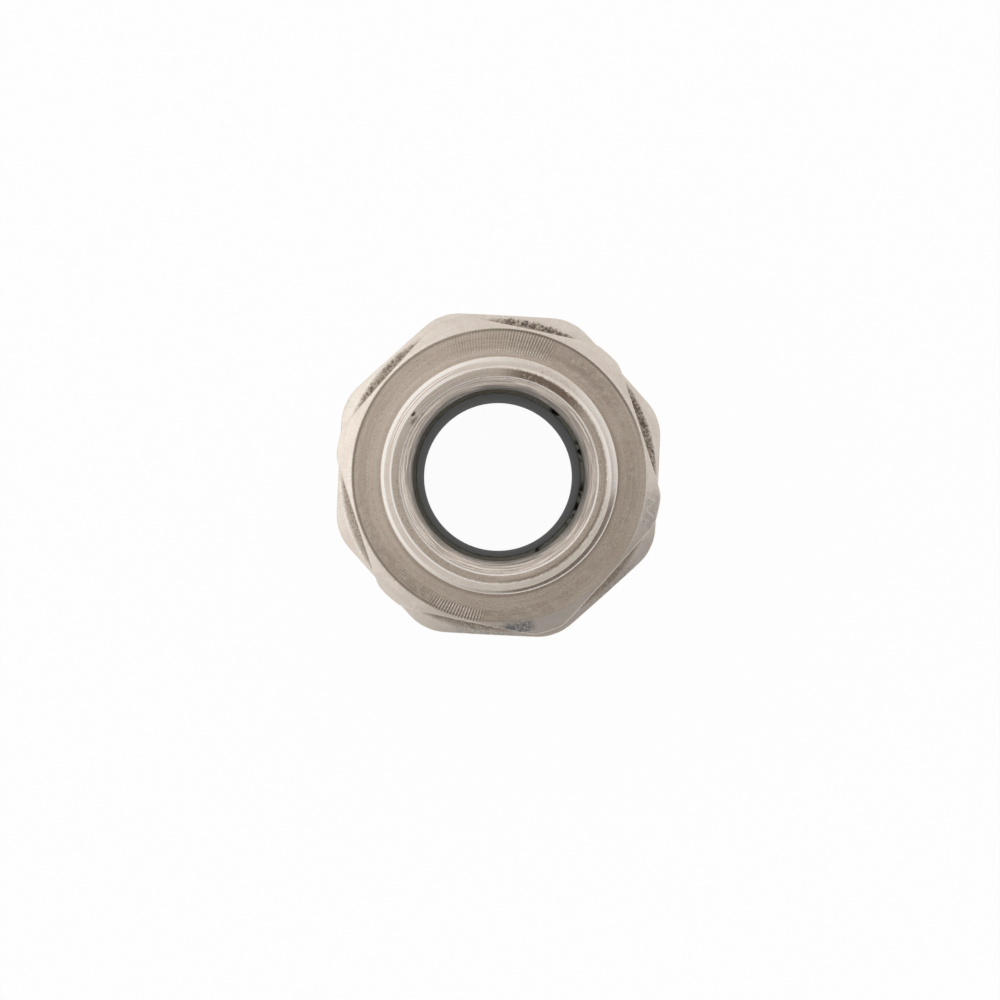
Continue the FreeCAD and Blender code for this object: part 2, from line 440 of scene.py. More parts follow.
@dataclass(frozen=True)
class NickelPlate:
    """Nickel plate over turned brass, with stronger rings and specks on faces at given heights.

    Its features are laid on in their order.
    """

    name: str
    faces: tuple[float, ...]
    features: tuple[Feature, ...]
    seed: float = 0.0
    plate: Colour = (0.76, 0.69, 0.62, 1.0)
    warm: Colour = (0.60, 0.52, 0.44, 1.0)
    rosy: Colour = (0.69, 0.585, 0.53, 1.0)
    mossy: Colour = (0.63, 0.59, 0.51, 1.0)
    grazing: Colour = (1.0, 0.91, 0.82, 1.0)
    roughness: float = 0.30
    relief: float = 0.018

    def ground(self, graph: RoundGraph, flats: "SpannerFlats") -> Look:
        """The plain plated surface.

        Args:
            graph: The graph of the new material.
            flats: The piece's spanner flats, which carry lines along the bar and not rings.

        Returns:
            The surface, on which features can be laid.
        """
        fine = graph.noise(graph.rings(6.5, 2.2, self.seed), 1.0, 3.0, 0.7)
        coarse = graph.noise(graph.rings(2.0, 1.3, self.seed + 7.0), 1.0, 2.0, 0.5)
        along = graph.vector(graph.x * 4.0, graph.y * 4.0, graph.z * 0.25 + self.seed)
        drawn = graph.noise(along, 1.0, 3.0, 0.6)
        grain = graph.noise(graph.point, 4.2, 4.0, 0.72)
        clouds = graph.noise(graph.point, 0.35, 3.0, 0.55)
        specks = graph.noise(graph.point, 3.4, 2.0, 0.5)
        tint = graph.noise(graph.point, 0.9, 2.0, 0.5)
        flat = graph.apothem(flats.sides, flats.turn).band(flats.flat - 0.04, flats.flat + 0.04, 0.02)
        faced = sum(graph.z.band(height - 0.1, height + 0.1, 0.05) for height in self.faces)
        turned = fine.ramp(0.32, 0.68) * (1.0 - flat) + drawn.ramp(0.30, 0.70) * flat
        bands = coarse.ramp(0.32, 0.68) * (1.0 - flat) + 0.5 * flat
        mottle = grain.ramp(0.33, 0.67)
        rings = (bands - 0.5) * 0.34 + (turned - 0.5) * 0.30
        uneven = (mottle - 0.5) * (faced * 0.50 + 0.16)
        warmth = rings * (faced * 0.7 + 0.5) + uneven + clouds.ramp(0.35, 0.65) * 0.26 + 0.18
        colour = graph.blend(warmth.held(), self.plate, self.warm)
        colour = graph.blend(tint.ramp(0.52, 0.68) * 0.55, colour, self.rosy)
        colour = graph.blend(tint.ramp(0.46, 0.32) * 0.45, colour, self.mossy)
        colour = graph.blend(specks.ramp(0.67, 0.72) * (faced * 0.4 + 0.2), colour, GRIME)
        colour = graph.blend(specks.ramp(0.33, 0.28) * (faced * 0.5 + 0.1), colour, BRIGHT)
        return Look(
            graph, turned, mottle, colour,
            rough=mottle * 0.08 + bands * 0.08 + (self.roughness - 0.08),
            metallic=1.0 - specks.ramp(0.68, 0.74) * 0.5,
            height=turned * 0.40 + bands * 0.20 + grain * (faced * 0.35 + 0.20),
        )

    def build(self, flats: "SpannerFlats") -> bpy.types.Material:
        """Makes the plated material of a piece with such flats."""
        graph = RoundGraph(self.name)
        look = self.ground(graph, flats)
        for feature in self.features:
            feature.apply(look)
        return graph.surface(
            Base_Color=look.colour, Metallic=look.metallic.held(), Roughness=look.rough,
            Normal=graph.bumps(look.height, self.relief),
            Specular_IOR_Level=0.15, Specular_Tint=self.grazing,
        )


@dataclass(frozen=True)
class DarkPlastic:
    """Moulded dark grey plastic of the tailpiece."""

    name: str
    colour: Colour = (0.095, 0.102, 0.086, 1.0)
    worn: Colour = (0.140, 0.148, 0.126, 1.0)
    roughness: float = 0.62
    relief: float = 0.006

    def build(self) -> bpy.types.Material:
        """Makes the material."""
        graph = RoundGraph(self.name)
        grain = graph.noise(graph.point, 5.5, 3.0, 0.55)
        flow = graph.noise(graph.rings(0.9, 1.3, 3.0), 1.0, 3.0, 0.5)
        return graph.surface(
            Base_Color=graph.blend(((grain - 0.5) * 0.8 + flow * 0.7).held(), self.colour, self.worn),
            Roughness=(grain - 0.5) * 0.2 + self.roughness,
            Normal=graph.bumps(grain * 0.6 + flow * 0.4, self.relief),
            Specular_IOR_Level=0.16,
        )


@dataclass(frozen=True)
class GreyRubber:
    """Rubber of the gasket, in a pale colour that paints in light, with black specks in some arcs of its
    hole.
    """

    name: str
    # Painted light: this pale grey is raised above the rubber's own tone so that the gasket, deep in the
    # bore's shade, looks lit.
    colour: Colour = (0.72, 0.78, 0.72, 1.0)
    dust: Colour = (0.86, 0.92, 0.85, 1.0)
    darkening: Colour = (0.05, 0.05, 0.044, 1.0)
    specked_arcs: tuple[Pair, ...] = ((17.0, 6.0), (48.0, 4.0), (299.0, 3.0), (340.0, 14.0))
    roughness: float = 0.8
    relief: float = 0.02

    def build(self) -> bpy.types.Material:
        """Makes the material."""
        graph = RoundGraph(self.name)
        grain = graph.noise(graph.point, 6.0, 3.0, 0.6)
        speck_mask = graph.noise(graph.point, 1.3, 2.0, 0.5).ramp(0.42, 0.60)
        places = sum(graph.sector(middle, half, half) for middle, half in self.specked_arcs)
        colour = graph.blend(grain * 0.6, self.colour, self.dust)
        return graph.surface(
            Base_Color=graph.blend((speck_mask * places).held(), colour, self.darkening),
            Roughness=self.roughness, Normal=graph.bumps(grain, self.relief), Specular_IOR_Level=0.15,
        )


def span(node: str) -> Pair:
    """Lowest and highest height of a CAD node."""
    low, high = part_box(node)
    return low.z / MM, high.z / MM


def add_object(name: str, data: bpy.types.ID) -> bpy.types.Object:
    """Makes an object of its data, in the scene."""
    made = bpy.data.objects.new(name, data)
    bpy.context.scene.collection.objects.link(made)
    return made


@dataclass(frozen=True)
class Corner:
    """One corner of a turned section: radius, height and the size of its softened edge."""

    radius: float
    height: float
    soft: float = 0.0


@dataclass
class Piece:
    """A mesh in the making, the CAD node that it stands for and the body that it rides on."""

    name: str
    node: str
    body: str
    slot: Slot
    sharp_angle: float = 32.0
    crossing_angle: float = 8.0
    bm: bmesh.types.BMesh = field(default_factory=bmesh.new)
    rings: list[Ring] = field(default_factory=list)

    def turn(self, corners: list[Corner], closed: bool = False) -> None:
        """Spins a section about the bore, and keeps the rings of edges that are to be softened.

        Args:
            corners: The section's corners in order.
            closed: Whether the last corner joins the first.
        """
        verts = [self.bm.verts.new((corner.radius, 0.0, corner.height)) for corner in corners]
        ends = verts[1:] + (verts[:1] if closed else [])
        edges = [self.bm.edges.new(pair) for pair in zip(verts, ends)]
        bmesh.ops.spin(
            self.bm, geom=verts + edges, cent=(0, 0, 0), axis=(0, 0, 1), angle=FULL_TURN, steps=STEPS,
            use_merge=True,
        )
        rings: dict[Pair, Ring] = {
            (round(corner.radius, 3), round(corner.height, 3)): ([], corner.soft)
            for corner in corners if corner.soft
        }
        for edge in self.bm.edges:
            first, last = ((round(v.co.xy.length, 3), round(v.co.z, 3)) for v in edge.verts)
            if first == last and first in rings:
                rings[first][0].append(edge)
        self.rings.extend(rings.values())

    def soften(self) -> None:
        """Bevels the rings of edges that were kept."""
        for edges, size in self.rings:
            bmesh.ops.bevel(
                self.bm, geom=[edge for edge in edges if edge.is_valid], offset=size, segments=3,
                profile=0.5, affect="EDGES", clamp_overlap=True, material=-1,
            )

    def finish(self, material: bpy.types.Material) -> None:
        """Welds, shades and places the mesh, and hands it to the frame with its material."""
        bmesh.ops.remove_doubles(self.bm, verts=self.bm.verts[:], dist=WELD)
        bmesh.ops.dissolve_degenerate(self.bm, edges=self.bm.edges[:], dist=WELD)
        bmesh.ops.recalc_face_normals(self.bm, faces=self.bm.faces[:])
        for face in self.bm.faces:
            face.smooth = True
        crossing = self.bm.verts.layers.int.get(CROSSING)
        for edge in self.bm.edges:
            crosses = crossing is not None and all(vert[crossing] for vert in edge.verts)
            limit = self.crossing_angle if crosses else self.sharp_angle
            edge.smooth = math.degrees(edge.calc_face_angle(0.0)) < limit
        bmesh.ops.scale(self.bm, vec=(MM, MM, MM), verts=self.bm.verts[:])
        mesh = bpy.data.meshes.new(self.name)
        self.bm.to_mesh(mesh)
        self.bm.free()
        mesh.materials.append(material)
        made = add_object(self.name, mesh)
        made.modifiers.new("weighted_normals", "WEIGHTED_NORMAL").keep_sharp = True
        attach(made, self.body)
        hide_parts(self.node)
        log.info("%s: %d faces on %s", self.name, len(mesh.polygons), self.body)


@dataclass(frozen=True)
class SpannerFlats:
    """Flats milled on a turned blank with chamfered corners.

    Attributes:
        flat: Distance of a flat from the bore's axis.
        turn: Direction of one flat.
        rise: How far the blank stands out past the flats.
        bevel: How far the front face lies inside the blank, as rear_bevel is for the rear face.
        edge_blend: How near to a flat's end its edge is rounded.
    """

    sides: int
    flat: float
    turn: float
    bottom: float
    top: float
    rise: float
    bevel: float
    rear_bevel: float
    edge_blend: float = 0.35

    @property
    def blank(self) -> float:
        """Radius of the blank."""
        return self.flat + self.rise

    @property
    def low(self) -> float:
        """Height at which the blank's cylinder begins."""
        return self.bottom + self.rear_bevel * CORNER_SLOPE

    @property
    def high(self) -> float:
        """Height at which the blank's cylinder ends."""
        return self.top - self.bevel * CORNER_SLOPE

    def corners(self, edge: float, front_edge: float, rear_edge: float) -> list[Corner]:
        """The blank's corners from its rear face up, with the softness of its three kinds of edge."""
        return [
            Corner(self.blank - self.rear_bevel, self.bottom, rear_edge),
            Corner(self.blank, self.low, edge),
            Corner(self.blank, self.high, edge),
            Corner(self.blank - self.bevel, self.top, front_edge),
        ]

    def reach(self, angle: float) -> float:
        """Radius of the milled outline, with softened corners, at an angle in radians."""
        step = FULL_TURN / self.sides
        off = (angle - math.radians(self.turn) + step / 2) % step - step / 2
        flat = self.flat / math.cos(off)
        gap = max(self.edge_blend - abs(flat - self.blank), 0.0) / self.edge_blend
        return min(flat, self.blank) - gap * gap * self.edge_blend / 4

    def mill(self, bm: bmesh.types.BMesh) -> None:
        """Moves the outside of a mesh turned with this blank in to the flats.

        The corner chamfers keep their slope, because their edges move up or down as they move in.
        """
        margin = 0.01
        for vert in bm.verts:
            radius, height = vert.co.xy.length, vert.co.z
            bevel = self.bevel if height > self.high else self.rear_bevel
            within = self.bottom - margin < height < self.top + margin
            if radius < self.blank - bevel - margin or not within:
                continue
            pull = self.blank - self.reach(math.atan2(vert.co.y, vert.co.x))
            share = (radius - self.blank + bevel) / bevel
            level = min(max((height - self.low) / (self.high - self.low), 0.0), 1.0)
            rise = pull * CORNER_SLOPE * (2 * level - 1)
            scale = (radius - pull * share) / radius
            vert.co = (vert.co.x * scale, vert.co.y * scale, height + rise * share)


@dataclass(frozen=True)
class PipeThread:
    """A helical pipe thread with rounded crests and roots, cut on a blank with a cone at each end.

    Attributes:
        mouth_radius: Radius at which the mouth's cone meets the end face.
        mouth: Height of that end face.
        relief: Height at which the grooves have run out.
        groove_at_x: Height of a groove's middle at +X.
        arc_points: Points on each half of a rounding, with flank_points between two of them.
    """

    side: Side
    pitch: float
    crest: float
    depth: float
    mouth_radius: float
    mouth: float
    relief: float
    groove_at_x: float
    arc_points: int = 3
    flank_points: int = 1
    flank_half_angle: float = 27.5
    rounding_share: float = 0.1373
    halvings: int = 24

    @property
    def down(self) -> float:
        """1 where the mouth is above the relief, and -1 where it is below."""
        return 1.0 if self.mouth > self.relief else -1.0

    def tooth(self) -> list[Pair]:
        """One pitch of the section, from the middle of a groove down to just before the next.

        Returns:
            Pairs of depth below the crest and distance down from the groove's middle.
        """
        rounding = self.pitch * self.rounding_share
        sweep = math.pi / 2 - math.radians(self.flank_half_angle)
        turns = [sweep * index / (self.arc_points - 1) for index in range(self.arc_points)]
        root = [(self.depth - rounding * (1 - math.cos(turn)), rounding * math.sin(turn)) for turn in turns]
        crest = [(self.depth - drop, self.pitch / 2 - along) for drop, along in reversed(root)]
        shares = [index / (self.flank_points + 1) for index in range(1, self.flank_points + 1)]
        falling = root + [between(root[-1], crest[0], share) for share in shares] + crest
        rising = [(drop, self.pitch - along) for drop, along in reversed(falling)]
        return falling + rising[1:-1]

    def limit(self, height: float) -> float:
        """The signed radius of the blank at a height: two end cones and the crests' cylinder."""
        crest = self.side.value * self.crest
        mouth = self.side.value * self.mouth_radius + (self.mouth - height) * self.down
        return min(crest, mouth, crest - self.depth + (height - self.relief) * self.down)

    def cut(self, piece: Piece) -> None:
        """Adds the thread's surface to the piece whose mouth and relief rings it joins."""
        layers = piece.bm.verts.layers.int
        crossing = layers.get(CROSSING) or layers.new(CROSSING)
        shape = self.tooth()
        top = max(self.mouth, self.relief)
        first = self.groove_at_x
        while first < top + self.pitch:
            first += self.pitch
        length = abs(self.mouth - self.relief)
        turns = math.ceil((first - top + length) / self.pitch) + 2
        crest = self.side.value * self.crest
        rows = [
            (crest - drop, first - along - turn * self.pitch)
            for turn in range(turns) for drop, along in shape
        ]
        last = len(rows) - 1
        grid = bmesh.ops.create_grid(piece.bm, x_segments=STEPS, y_segments=last, size=1.0)
        columns: list[dict[int, bmesh.types.BMVert]] = [{} for _ in range(STEPS + 1)]
        for vert in grid["verts"]:
            step = round((vert.co.x + 1) / 2 * STEPS)
            columns[step][round((vert.co.y + 1) / 2 * last)] = vert
        for step, column in enumerate(columns):
            rise = self.pitch * step / STEPS
            points = [(value, height + rise) for value, height in rows]
            places, crossed = self.clip(points, len(shape) // 2)
            angle = FULL_TURN * step / STEPS
            for index, vert in column.items():
                radius = self.side.value * places[index][0]
                vert.co = (radius * math.cos(angle), radius * math.sin(angle), places[index][1])
                vert[crossing] = int(index in crossed)

    def clip(self, points: list[Pair], near: int) -> tuple[list[Pair], set[int]]:
        """Moves the points of a section that lie outside the blank onto its outline.

        Args:
            points: Signed radius and height of each point, from the top down.
            near: How many points one crossing may gather. Further ones go to the thread's ends.

        Returns:
            The points' new places, and the numbers of those that are now on a crossing.
        """
        upper = (self.side.value * self.mouth_radius, self.mouth)
        lower = (self.side.value * self.crest - self.depth, self.relief)
        if self.down < 0:
            upper, lower = lower, upper
        kept = [
            index for index, (value, height) in enumerate(points) if value <= self.limit(height) + TINY
        ]
        places = []
        crossed = set()
        for index, point in enumerate(points):
            order = bisect_left(kept, index)
            before = kept[order - 1] if order else -math.inf
            after = kept[order] if order < len(kept) else math.inf
            if after == index:
                places.append(point)
            elif min(index - before, after - index) > near:
                places.append(upper if after - index < index - before else lower)
            else:
                first, step = (before, 1) if index - before <= after - index else (after, -1)
                places.append(self.crossing(points[first], points[first + step]))
                crossed.add(index)
        return places, crossed

    def crossing(self, kept: Pair, outside: Pair) -> Pair:
        """Where the section leaves the blank, between a kept point and one outside."""
        low, high = 0.0, 1.0
        for _ in range(self.halvings):
            share = (low + high) / 2
            value, height = between(kept, outside, share)
            if value <= self.limit(height):
                low = share
            else:
                high = share
        return between(kept, outside, low)


def between(first: Pair, last: Pair, share: float) -> Pair:
    """The point that lies a share of the way from the first to the last."""
    return first[0] + (last[0] - first[0]) * share, first[1] + (last[1] - first[1]) * share


@dataclass
class UnionThread:
    """Sizes of the thread between the body and the nut. A groove of the body is at groove_at_x at +X."""

    pitch: float = 2.309
    crest: float = 16.625
    depth: float = 1.48
    clearance: float = 0.05
    groove_at_x: float = 35.0

    @property
    def root(self) -> float:
        """Radius at the roots of the body's thread."""
        return self.crest - self.depth


@dataclass
class MaleBody:
    """The body: male pipe thread, hexagon and the union thread below it.

    A groove of the pipe thread is groove_drop below the mouth at groove_direction.
    """

    union: UnionThread
    bore: float = 10.8
    bore_chamfer: float = 0.2
    bore_edge: float = 0.05
    crest: float = 13.22
    depth: float = 1.16
    pitch: float = 1.814
    thread_length: float = 14.0
    mouth_chamfer: float = 1.3
    runout: float = 0.8
    root_fillet: float = 0.15
    hexagon_width: float = 9.5
    hexagon_turn: float = 18.0
    flat: float = 17.5
    corner_rise: float = 1.75
    corner_bevel: float = 2.0
    corner_edge: float = 0.10
    face_edge: float = 0.06
    union_chamfer: float = 1.5
    groove_drop: float = 1.33
    groove_direction: float = 275.0

    def build(self, finish: NickelPlate) -> None:
        """Makes the body with its plating."""
        bottom, top = span("male_body")
        hexagon_top = top - self.thread_length
        hexagon_bottom = hexagon_top - self.hexagon_width
        hexagon = SpannerFlats(
            6, self.flat, self.hexagon_turn, hexagon_bottom, hexagon_top,
            self.corner_rise, self.corner_bevel, self.corner_bevel,
        )
        union = self.union
        mouth = self.crest - self.mouth_chamfer
        relief = hexagon_top + self.runout
        union_mouth = union.crest - union.depth / 2 - self.union_chamfer
        union_relief = hexagon_bottom - self.runout
        piece = Piece("plated_body", "male_body", "body", Slot.BODY)
        piece.turn([
            Corner(mouth, top),
            Corner(self.bore + self.bore_chamfer, top, self.bore_edge),
            Corner(self.bore, top - self.bore_chamfer, self.bore_edge),
            Corner(self.bore, bottom, self.bore_edge),
            Corner(union_mouth, bottom),
        ])
        piece.turn([
            Corner(union.root, union_relief),
            Corner(union.root, hexagon_bottom, self.root_fillet),
            *hexagon.corners(self.corner_edge, self.face_edge, self.face_edge),
            Corner(self.crest - self.depth, hexagon_top, self.root_fillet),
            Corner(self.crest - self.depth, relief),
        ])
        hexagon.mill(piece.bm)
        piece.soften()
        groove_at_x = top - self.groove_drop - self.groove_direction / 360.0 * self.pitch
        PipeThread(
            Side.EXTERNAL, self.pitch, self.crest, self.depth, mouth, top, relief, groove_at_x,
            arc_points=4, flank_points=3,
        ).cut(piece)
        PipeThread(
            Side.EXTERNAL, union.pitch, union.crest, union.depth, union_mouth, bottom, union_relief,
            union.groove_at_x,
        ).cut(piece)
        piece.finish(finish.build(hexagon))


@dataclass
class UnionNut:
    """The octagonal nut: internal thread above, lip below."""

    union: UnionThread
    turned: float = 42.0
    flat: float = 19.55
    corner_rise: float = 1.1
    corner_bevel: float = 1.45
    rear_corner_bevel: float = 2.65
    corner_edge: float = 0.10
    face_edge: float = 0.20
    mouth_chamfer: float = 1.0
    relief_width: float = 0.8
    relief_fillet: float = 0.10
    root_fillet: float = 0.15
    lip: float = 3.0
    lip_hole: float = 13.2
    lip_chamfer: float = 0.5
    rear_edge: float = 0.08

    def build(self, finish: NickelPlate) -> None:
        """Makes the nut with its plating."""
        bottom, top = span("union_nut")
        thread_end = span("male_body")[0]
        octagon = SpannerFlats(
            8, self.flat, self.turned, bottom, top,
            self.corner_rise, self.corner_bevel, self.rear_corner_bevel,
        )
        union = self.union
        mouth = union.crest - union.depth / 2 + union.clearance + self.mouth_chamfer
        groove = union.crest + union.clearance
        seat = bottom + self.lip
        lip_rim = self.lip_hole + self.lip_chamfer
        piece = Piece("plated_union_nut", "union_nut", "nut", Slot.NUT)
        piece.turn([
            Corner(mouth, top),
            *reversed(octagon.corners(self.corner_edge, self.face_edge, self.rear_edge)),
            Corner(lip_rim, bottom, self.rear_edge),
            Corner(self.lip_hole, bottom + self.lip_chamfer, self.rear_edge),
            Corner(self.lip_hole, seat - self.lip_chamfer, self.rear_edge),
            Corner(lip_rim, seat, self.rear_edge),
            Corner(union.root, seat, self.root_fillet),
            Corner(union.root, thread_end, self.relief_fillet),
            Corner(groove, thread_end, self.relief_fillet),
            Corner(groove, thread_end + self.relief_width),
        ])
        octagon.mill(piece.bm)
        piece.soften()
        PipeThread(
            Side.INTERNAL, union.pitch, union.root + union.clearance, union.depth, mouth, top,
            thread_end + self.relief_width, union.groove_at_x + union.pitch / 2,
        ).cut(piece)
        piece.finish(finish.build(octagon))


@dataclass
class FlatGasket:
    """The rubber ring between the body and the tailpiece."""

    hole: float = 10.42
    hole_edge: float = 0.02
    rim: float = 14.845
    rim_edge: float = 0.25

    def build(self, finish: GreyRubber) -> None:
        """Makes the gasket of its rubber."""
        bottom, top = span("flat_gasket")
        piece = Piece("rubber_gasket", "flat_gasket", "tail", Slot.GASKET)
        piece.turn([
            Corner(self.hole, bottom, self.hole_edge),
            Corner(self.rim, bottom, self.rim_edge),
            Corner(self.rim, top, self.rim_edge),
            Corner(self.hole, top, self.hole_edge),
        ], closed=True)
        piece.soften()
        piece.finish(finish.build())


@dataclass
class Tailpiece:
    """The moulded tailpiece: flange in the nut and spigot for a plastic pipe's socket."""

    spigot: float = 12.5
    wall: float = 2.1
    spigot_length: float = 20.0
    lead_length: float = 1.8
    lead_depth: float = 0.6
    lead_edge: float = 0.2
    lead_blend: float = 0.5
    neck_step: float = 0.4
    neck_edge: float = 0.1
    neck_fillet: float = 0.15
    flange: float = 14.845
    flange_thickness: float = 3.5
    flange_root: float = 0.3
    flange_chamfer: float = 0.4
    flange_edge: float = 0.15
    bore_chamfer: float = 0.4
    chamfer_edge: float = 0.12
    bore_edge: float = 0.02
    core_shift: float = 0.3

    def build(self, finish: DarkPlastic) -> None:
        """Makes the tailpiece of its plastic, with the drift of its bore that a long core leaves."""
        bottom, top = span("plastic_tailpiece")
        bore = self.spigot - self.wall
        neck = self.spigot + self.neck_step
        seat = top - self.flange_thickness
        shoulder = bottom + self.spigot_length
        piece = Piece("moulded_tailpiece", "plastic_tailpiece", "tail", Slot.TAIL)
        piece.turn([
            Corner(bore + self.bore_chamfer, bottom, self.chamfer_edge),
            Corner(self.spigot - self.lead_depth, bottom, self.lead_edge),
            Corner(self.spigot, bottom + self.lead_length, self.lead_blend),
            Corner(self.spigot, shoulder, self.neck_edge),
            Corner(neck, shoulder + self.neck_step, self.neck_fillet),
            Corner(neck, seat - self.flange_root, self.neck_edge),
            Corner(neck + self.flange_root, seat, self.neck_edge),
            Corner(self.flange - self.flange_chamfer, seat, self.chamfer_edge),
            Corner(self.flange, seat + self.flange_chamfer, self.chamfer_edge),
            Corner(self.flange, top, self.flange_edge),
            Corner(bore, top, self.bore_edge),
            Corner(bore, bottom + self.bore_chamfer, self.chamfer_edge),
        ], closed=True)
        piece.soften()
        inside = bore + self.wall / 4
        for vert in piece.bm.verts:
            if vert.co.xy.length < inside:
                vert.co.y -= self.core_shift * (top - vert.co.z) / (top - bottom)
        piece.finish(finish.build())


@dataclass
class Studio:
    """Camera, floor and soft light. The camera is fitted to the circles in the photograph.

    Light from overhead goes from dim to bright towards one direction, and low light has two sides.
    """

    camera_place: tuple[float, float, float] = (-0.484, 0.420, 292.238)
    camera_tilt: Pair = (0.777, 0.151)
    focal_pixels: float = 2069.3
    frame_pixels: float = 1000.0
    sensor: float = 36.0
    floor_size: float = 4000.0
    floor_paint: Colour = (0.86, 0.86, 0.86, 1.0)
    floor_white: float = 0.965
    low_light: Colour = (0.92, 0.92, 0.925, 1.0)
    dim_light: Colour = (0.28, 0.255, 0.235, 1.0)
    bright_light: Colour = (0.76, 0.71, 0.66, 1.0)
    bright_overhead: float = 130.0
    bright_side: float = 160.0
    bright_gain: float = 0.42
    bright_lean: float = 0.05
    dim_side: float = 297.0
    dim_loss: float = 0.5

    def camera(self) -> None:
        """Places the camera at the photograph's viewing angle."""
        data = bpy.data.cameras.new("camera")
        data.sensor_width = self.sensor
        data.lens = self.focal_pixels / self.frame_pixels * self.sensor
        data.clip_start = 0.01
        data.clip_end = 50.0
        made = add_object("camera", data)
        tilt_x, tilt_y = (math.radians(value) for value in self.camera_tilt)
        towards = Matrix.Rotation(tilt_x, 3, "X") @ Matrix.Rotation(tilt_y, 3, "Y")
        place = Matrix.Translation(Vector(self.camera_place) * MM)
        made.matrix_world = place @ towards.transposed().to_4x4()
        bpy.context.scene.camera = made

    def floor(self) -> None:
        """Makes the plain white floor, which keeps a faint shadow of the union."""
        material = bpy.data.materials.new("floor_white")
        material.use_nodes = True
        graph = Graph(material.node_tree)
        paint = graph.node("ShaderNodeBsdfDiffuse", None, {"Color": self.floor_paint})
        glow = graph.node("ShaderNodeEmission", None, {"Color": WHITE, "Strength": 1.0})
        path = graph.node("ShaderNodeLightPath")
        seen, mirrored, through = (
            Signal(graph, path.outputs[f"Is {kind} Ray"]) for kind in ("Camera", "Glossy", "Transmission")
        )
        share = seen.larger(mirrored).larger(through) * self.floor_white
        graph.close("ShaderNodeOutputMaterial", share, paint, glow)
        bm = bmesh.new()
        bmesh.ops.create_grid(bm, x_segments=1, y_segments=1, size=self.floor_size / 2 * MM)
        mesh = bpy.data.meshes.new("floor")
        bm.to_mesh(mesh)
        bm.free()
        mesh.materials.append(material)
        add_object("floor", mesh)

    def light(self) -> None:
        """Fills the world with soft light that is brightest low on the upper left."""
        world = bpy.data.worlds.new("studio")
        bpy.context.scene.world = world
        world.use_nodes = True
        graph = Graph(world.node_tree)
        x, y, z = graph.split(graph.node("ShaderNodeTexCoord").outputs["Generated"])
        overhead, bright, dim = (
            x * math.cos(math.radians(side)) + y * math.sin(math.radians(side))
            for side in (self.bright_overhead, self.bright_side, self.dim_side)
        )
        zenith = graph.blend(overhead.ramp(-0.30, 0.30), self.dim_light, self.bright_light)
        sky = graph.blend(z.ramp(0.60, 0.97), self.low_light, zenith)
        gain = bright.ramp(0.45, 0.95) * z.ramp(-0.10, 0.45) * self.bright_gain
        loss = dim.ramp(0.30, 0.85) * self.dim_loss
        strength = gain + bright * self.bright_lean + 1.0 - loss
        lamp = graph.node("ShaderNodeBackground", None, {"Color": sky, "Strength": strength})
        white = graph.node("ShaderNodeBackground", None, {"Color": WHITE, "Strength": 1.0})
        seen = Signal(graph, graph.node("ShaderNodeLightPath").outputs["Is Camera Ray"])
        graph.close("ShaderNodeOutputWorld", seen, lamp, white)

    def build(self) -> None:
        """Sets up the whole studio."""
        bpy.context.scene.view_settings.view_transform = "Standard"
        self.camera()
        self.floor()
        self.light()


# Heights of the body's end face, its hexagon's face and the nut's face, and what lies near them.
END = span("male_body")[1]
HEXAGON_FACE = END - MaleBody.thread_length
NUT_FACE = span("union_nut")[1]
ON_END = (END - 0.2, END + 0.2)
IN_END = (END - 0.4, END + 0.2)
BORE_EDGE = (END - 0.3, END + 0.1)
CHAMFER = (END - 2.5, END)
CHAMFER_TOP = (END - 1.5, END)
ON_HEXAGON = (HEXAGON_FACE - 0.2, HEXAGON_FACE + 0.2)
HEXAGON_CORNER = (HEXAGON_FACE - 1.3, HEXAGON_FACE)
ON_NUT = (NUT_FACE - 0.2, NUT_FACE + 0.2)
NUT_CORNER = (NUT_FACE - 0.8, NUT_FACE + 0.1)

